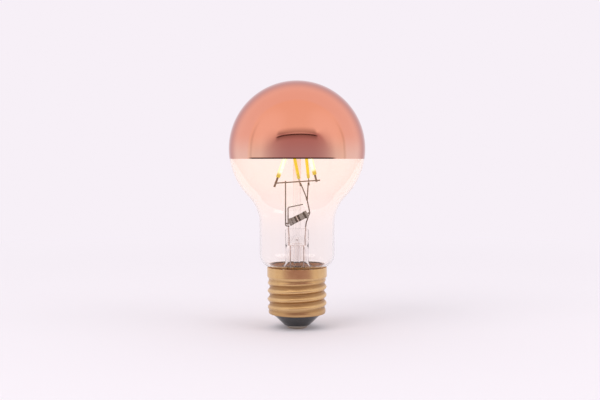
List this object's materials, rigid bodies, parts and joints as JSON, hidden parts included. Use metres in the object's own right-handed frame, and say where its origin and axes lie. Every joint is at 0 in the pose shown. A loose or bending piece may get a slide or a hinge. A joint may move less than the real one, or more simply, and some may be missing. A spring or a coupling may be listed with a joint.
{
  "type": "crown mirror led bulb",
  "caption": "LED filament bulb with a copper mirrored crown, a clear glass neck and a medium screw cap.",
  "frame": {"origin": "tip of the centre contact, on the bulb's axis", "axes": "+Z along the bulb from the contact to the crown, -Y the side that the resistor faces"},
  "size_m": [0.06, 0.06, 0.109],
  "materials": {
    "clear_glass": "clear polished",
    "copper_mirror": "copper mirror",
    "phosphor_bright": "matte, lit",
    "phosphor_yellow": "matte, lit",
    "filament_tab": "satin",
    "lead_wire": "satin",
    "resistor_coat": "satin lacquer",
    "cap_brass": "satin",
    "contact_brass": "satin",
    "insulator_black": "gloss",
    "cement": "matte",
    "board": "satin lacquer",
    "rectifier_black": "matte",
    "capacitor_can": "satin",
    "fuse_coat": "satin lacquer"
  },
  "bodies": {
    "root": {"glass_envelope": "clear_glass", "glass_stem": "clear_glass", "crown_mirror": "copper_mirror", "led_filament_1": "phosphor_bright", "led_filament_4": "phosphor_bright", "led_filament_2": "phosphor_yellow", "led_filament_3": "phosphor_yellow", "filament_1_lower_tab": "filament_tab", "filament_1_upper_tab": "filament_tab", "filament_2_lower_tab": "filament_tab", "filament_2_upper_tab": "filament_tab", "filament_3_lower_tab": "filament_tab", "filament_3_upper_tab": "filament_tab", "filament_4_lower_tab": "filament_tab", "filament_4_upper_tab": "filament_tab", "left_lead_in": "lead_wire", "right_lead_in": "lead_wire", "left_lead_wire": "lead_wire", "right_lead_wire": "lead_wire", "right_branch_wire": "lead_wire", "lower_bar_wire": "lead_wire", "brace_wire": "lead_wire", "top_ring_wire": "lead_wire", "top_anchor_wire": "lead_wire", "resistor_left_lead": "lead_wire", "resistor_right_lead": "lead_wire", "contact_feed_wire": "lead_wire", "shell_feed_wire": "lead_wire", "resistor_body": "resistor_coat", "cap_shell": "cap_brass", "centre_contact": "contact_brass", "cap_insulator": "insulator_black", "cap_cement": "cement", "driver_board": "board", "bridge_rectifier": "rectifier_black", "smoothing_capacitor": "capacitor_can", "fuse_resistor": "fuse_coat"}
  },
  "joints": []
}
